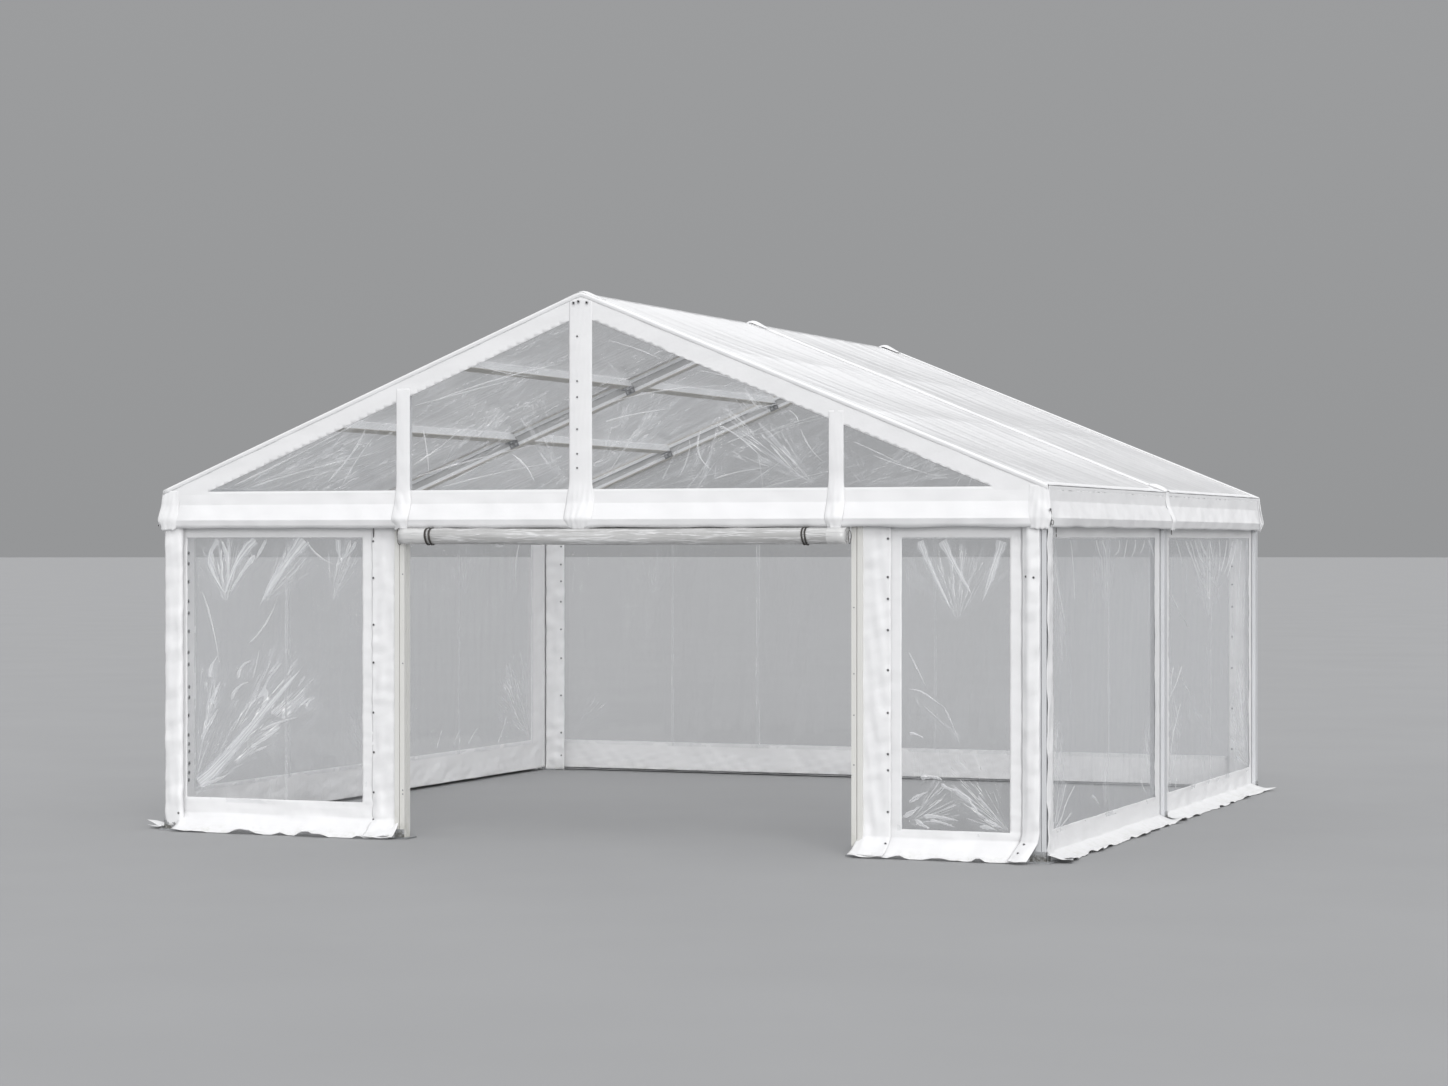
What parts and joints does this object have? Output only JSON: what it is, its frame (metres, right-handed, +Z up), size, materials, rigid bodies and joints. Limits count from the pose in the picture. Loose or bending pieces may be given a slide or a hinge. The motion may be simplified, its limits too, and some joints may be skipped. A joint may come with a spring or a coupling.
{
  "type": "frame marquee tent",
  "caption": "Gabled frame marquee with clear roof, clear gable windows, white-bordered clear walls on all sides and a door rolled up under the front valance.",
  "frame": {"origin": "middle of the footprint, at ground level", "axes": "+Z up, +X to the right of someone who faces the door, +Y from the door to the back"},
  "size_m": [6.224, 6.224, 3.4546],
  "materials": {
    "aluminium": "satin extruded profile, slightly weathered",
    "white_pvc": "white coated polyester, semi-matt, welded hems",
    "clear_pvc": "flexible clear sheet, glossy, slightly hazy and creased",
    "steel": "zinc-coated fittings, eyelets and screws",
    "webbing": "dark straps and elastic loops"
  },
  "bodies": {
    "root": {"leg_front_left": "aluminium", "leg_front_right": "aluminium", "leg_middle_left": "aluminium", "leg_middle_right": "aluminium", "leg_back_left": "aluminium", "leg_back_right": "aluminium", "door_post_left": "aluminium", "door_post_right": "aluminium", "gable_upright_left": "aluminium", "gable_upright_centre": "aluminium", "gable_upright_right": "aluminium", "rafter_front_left": "aluminium", "rafter_front_right": "aluminium", "rafter_middle_left": "aluminium", "rafter_middle_right": "aluminium", "rafter_back_left": "aluminium", "rafter_back_right": "aluminium", "purlin_lower_front_left": "aluminium", "purlin_lower_front_right": "aluminium", "purlin_lower_back_left": "aluminium", "purlin_lower_back_right": "aluminium", "purlin_upper_front_left": "aluminium", "purlin_upper_front_right": "aluminium", "purlin_upper_back_left": "aluminium", "purlin_upper_back_right": "aluminium", "ridge_purlin_front": "aluminium", "ridge_purlin_back": "aluminium", "eave_beam_front_left": "aluminium", "eave_beam_front_right": "aluminium", "eave_beam_back_left": "aluminium", "eave_beam_back_right": "aluminium", "gable_rail_front": "aluminium", "gable_rail_back": "aluminium", "roof_sheet_front": "clear_pvc", "roof_sheet_back": "clear_pvc", "valance_front_left": "white_pvc", "valance_front_right": "white_pvc", "valance_back_left": "white_pvc", "valance_back_right": "white_pvc", "gable_border_front": "white_pvc", "gable_border_back": "white_pvc", "gable_window_front": "clear_pvc", "gable_window_back": "clear_pvc", "wall_border_front_left": "white_pvc", "wall_border_front_right": "white_pvc", "wall_border_left_front": "white_pvc", "wall_border_left_back": "white_pvc", "wall_border_right_front": "white_pvc", "wall_border_right_back": "white_pvc", "wall_border_back": "white_pvc", "wall_window_front_left": "clear_pvc", "wall_window_front_right": "clear_pvc", "wall_window_left_front": "clear_pvc", "wall_window_left_back": "clear_pvc", "wall_window_right_front": "clear_pvc", "wall_window_right_back": "clear_pvc", "wall_window_back": "clear_pvc", "rolled_door": "clear_pvc"}
  },
  "joints": []
}
